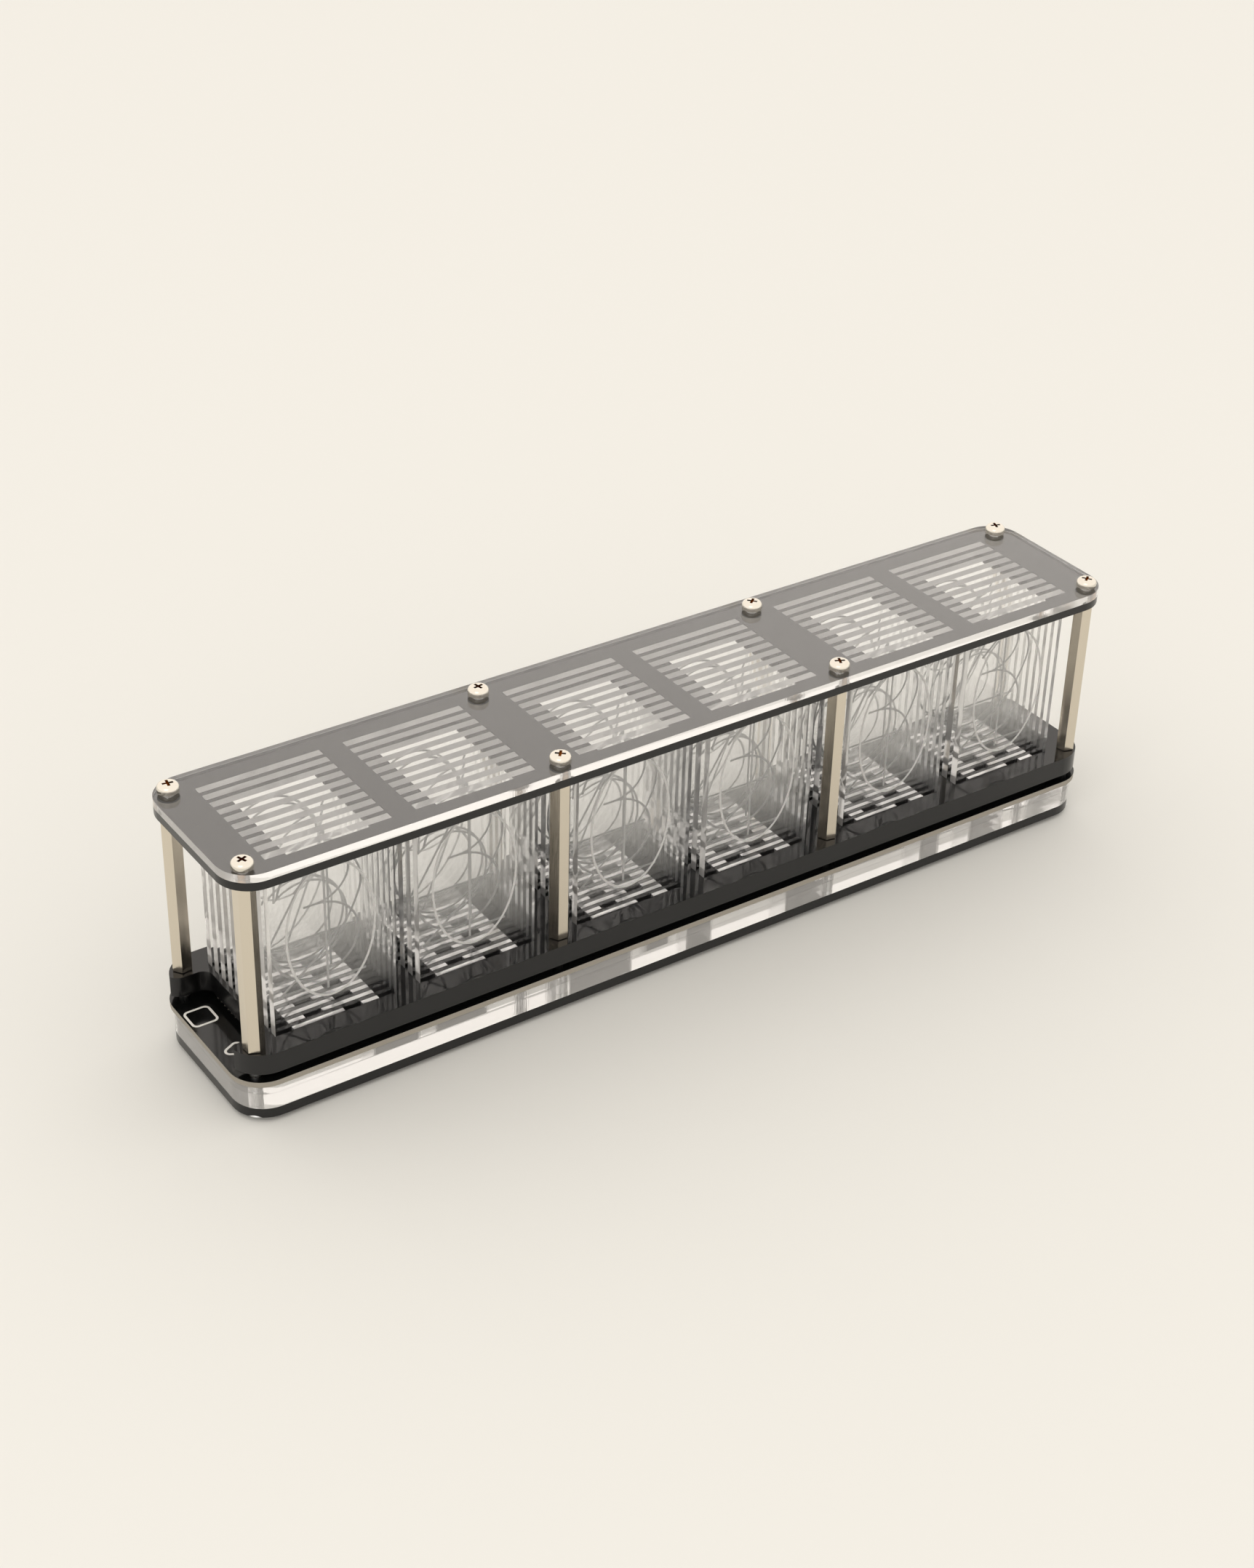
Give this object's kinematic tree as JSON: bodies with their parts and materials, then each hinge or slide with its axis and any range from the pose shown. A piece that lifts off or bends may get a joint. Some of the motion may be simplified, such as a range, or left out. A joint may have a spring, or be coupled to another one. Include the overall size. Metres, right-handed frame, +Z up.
{
  "type": "edge-lit numeral clock",
  "caption": "Desk clock with stacks of engraved clear panes for each digit, lit from below, between a black base and a comb plate on hex posts.",
  "frame": {"origin": "under the middle of the base, on the surface that the feet stand on", "axes": "+X along the row of digits to the right, -Y to the front, +Z up"},
  "size_m": [0.282, 0.0506, 0.0787],
  "materials": {
    "silicone": "soft translucent silicone",
    "black_acrylic": "polished black acrylic",
    "clear_acrylic": "polished clear acrylic with laser-cut edges",
    "zinc_steel": "bright zinc plating",
    "nickel_brass": "nickel-plated brass, satin",
    "solder_mask": "black solder mask",
    "white_print": "white screen print",
    "tinned_pad": "tinned copper",
    "light_source": "white LED package",
    "matte_black_sheet": "matte black sheet",
    "chip_plastic": "moulded epoxy",
    "holder_plastic": "moulded nylon",
    "stainless": "stainless steel",
    "ceramic_body": "ceramic body with tinned ends"
  },
  "bodies": {
    "root": {"silicone_feet": "silicone", "bottom_plate": "black_acrylic", "bottom_screws": "zinc_steel", "lower_clear_sheet": "clear_acrylic", "upper_clear_sheet": "clear_acrylic", "main_board": "solder_mask", "square_touch_mark": "white_print", "arrow_touch_mark": "white_print", "service_pads": "tinned_pad", "pixel_leds": "light_source", "led_baffle": "matte_black_sheet", "lower_slot_plate": "black_acrylic", "upper_slot_plate": "black_acrylic", "hex_standoffs": "nickel_brass", "comb_plate": "black_acrylic", "cover_plate": "clear_acrylic", "top_screws": "zinc_steel", "microcontroller": "chip_plastic", "clock_chip": "chip_plastic", "crystal": "stainless", "coin_cell_holder": "holder_plastic", "coin_cell": "stainless", "voltage_regulator": "chip_plastic", "decoupling_capacitors": "ceramic_body", "load_capacitors": "ceramic_body", "series_resistors": "ceramic_body", "power_socket": "stainless", "digit_pane_0": "clear_acrylic", "digit_pane_1": "clear_acrylic", "digit_pane_2": "clear_acrylic", "digit_pane_3": "clear_acrylic", "digit_pane_4": "clear_acrylic", "digit_pane_5": "clear_acrylic", "digit_pane_6": "clear_acrylic", "digit_pane_7": "clear_acrylic", "digit_pane_8": "clear_acrylic", "digit_pane_9": "clear_acrylic"}
  },
  "joints": []
}
